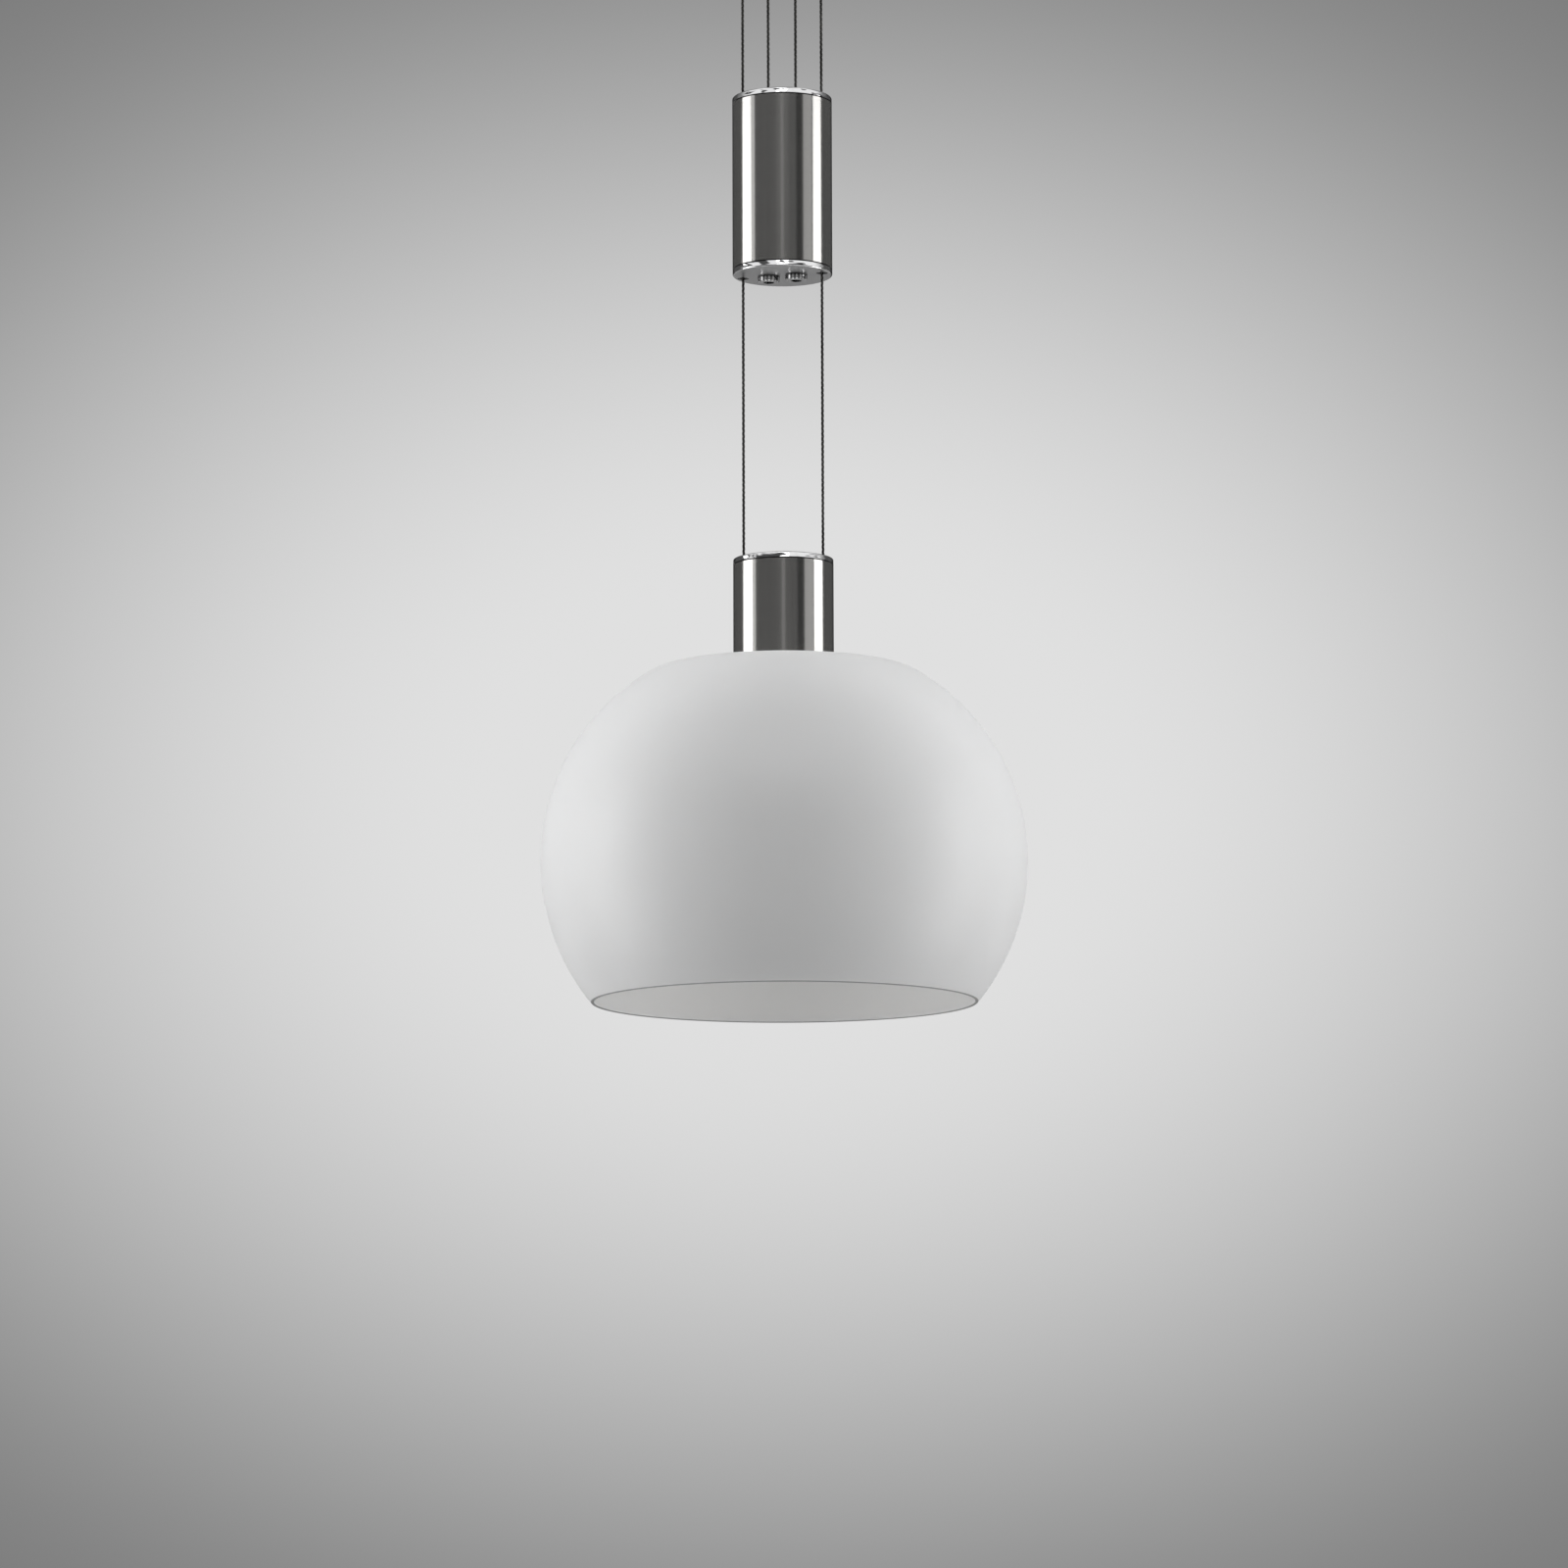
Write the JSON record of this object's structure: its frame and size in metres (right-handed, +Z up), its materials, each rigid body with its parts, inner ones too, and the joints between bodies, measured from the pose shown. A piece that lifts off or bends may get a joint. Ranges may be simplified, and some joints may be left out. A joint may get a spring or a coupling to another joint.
{
  "type": "rise and fall pendant",
  "caption": "Rise and fall pendant: open opal glass shade under a tube head, hung on bare twin wires over canopy pulleys to a cylindrical counterweight.",
  "frame": {"origin": "on the ceiling plane, in the middle of the ceiling bracket and canopy; the pendant hangs below it", "axes": "+Z up, towards the ceiling; +X along the line of the four wires; +Y towards the driver side of the canopy"},
  "size_m": [0.241, 0.241, 0.6869],
  "materials": {
    "brushed_nickel": "satin",
    "polished_chrome": "polished",
    "plain_steel": "satin",
    "core_steel": "satin",
    "wire_steel": "satin",
    "brass": "satin",
    "bearing_bronze": "satin",
    "black_insulator": "matte",
    "white_moulding": "matte",
    "mains_insulation": "matte",
    "earth_insulation": "matte",
    "clear_insulation": "gloss",
    "silicone": "matte",
    "opal_glass": "satin",
    "white_enamel": "gloss",
    "lamp_ceramic": "matte",
    "frosted_quartz": "satin"
  },
  "bodies": {
    "ceiling_unit": {"ceiling_bracket": "plain_steel", "support_posts": "plain_steel", "dome_screws": "polished_chrome", "canopy_tube": "brushed_nickel", "canopy_floor": "polished_chrome", "canopy_bushes": "black_insulator", "earth_screw": "brass", "earth_lead": "earth_insulation", "pulley_carrier": "white_moulding", "carrier_nuts": "plain_steel", "yoke_screws": "plain_steel", "axle_clips": "plain_steel", "driver_box": "white_moulding", "terminal_block": "white_moulding", "terminal_screws": "plain_steel", "mains_leads": "mains_insulation", "feed_leads": "clear_insulation", "pulley_yoke_left": "brass", "pulley_yoke_right": "brass", "pulley_axle_left": "plain_steel", "pulley_axle_right": "plain_steel", "wire_over_pulley_left": "wire_steel", "wire_over_pulley_right": "wire_steel"},
    "lamp": {"head_tube": "brushed_nickel", "head_plate": "polished_chrome", "head_bushes": "black_insulator", "head_ferrules": "brass", "nipple": "plain_steel", "lamp_leads": "clear_insulation", "upper_gasket": "silicone", "glass_shade": "opal_glass", "lower_gasket": "silicone", "clamp_dish": "white_enamel", "clamp_nut": "plain_steel", "holder_cup": "white_enamel", "lampholder": "lamp_ceramic", "capsule_lamp": "frosted_quartz", "lamp_pins": "plain_steel", "lamp_wire_left": "wire_steel", "lamp_wire_right": "wire_steel"},
    "counterweight": {"weight_tube": "brushed_nickel", "weight_top_plate": "polished_chrome", "weight_bottom_plate": "polished_chrome", "ballast_core": "core_steel", "tie_screw": "plain_steel", "guide_liners": "black_insulator", "grip_liners": "black_insulator", "liner_collars": "black_insulator", "grip_sleeves": "black_insulator", "wire_grip_left": "polished_chrome", "wire_grip_right": "polished_chrome", "weight_ferrule_left": "brass", "weight_ferrule_right": "brass", "weight_wire_left": "wire_steel", "weight_wire_right": "wire_steel"},
    "pulley_left": {"pulley_wheel_left": "brass", "pulley_bush_left": "bearing_bronze"},
    "pulley_right": {"pulley_wheel_right": "brass", "pulley_bush_right": "bearing_bronze"}
  },
  "joints": [
    {"name": "lamp_slide", "type": "slide", "parent": "ceiling_unit", "child": "lamp", "axis": [0, 0, 1], "range_m": [-0.177, 0.07], "deforming": ["lamp_wire_left", "lamp_wire_right"]},
    {"name": "weight_slide", "type": "slide", "parent": "ceiling_unit", "child": "counterweight", "axis": [0, 0, 1], "range_m": [-0.07, 0.177], "deforming": ["weight_wire_left", "weight_wire_right"]},
    {"name": "pulley_left_spin", "type": "hinge", "parent": "ceiling_unit", "child": "pulley_left", "pos_m": [-0.01395, 0, -0.03], "axis": [0, 1, 0], "range_deg": [-1504, 596]},
    {"name": "pulley_right_spin", "type": "hinge", "parent": "ceiling_unit", "child": "pulley_right", "pos_m": [0.01395, 0, -0.03], "axis": [0, 1, 0], "range_deg": [-596, 1504]}
  ],
  "couplings": [
    {"joint": "weight_slide", "follows": "lamp_slide", "ratio": -1},
    {"joint": "pulley_left_spin", "follows": "lamp_slide", "rad_per_m": 148.15},
    {"joint": "pulley_right_spin", "follows": "lamp_slide", "rad_per_m": -148.15}
  ]
}
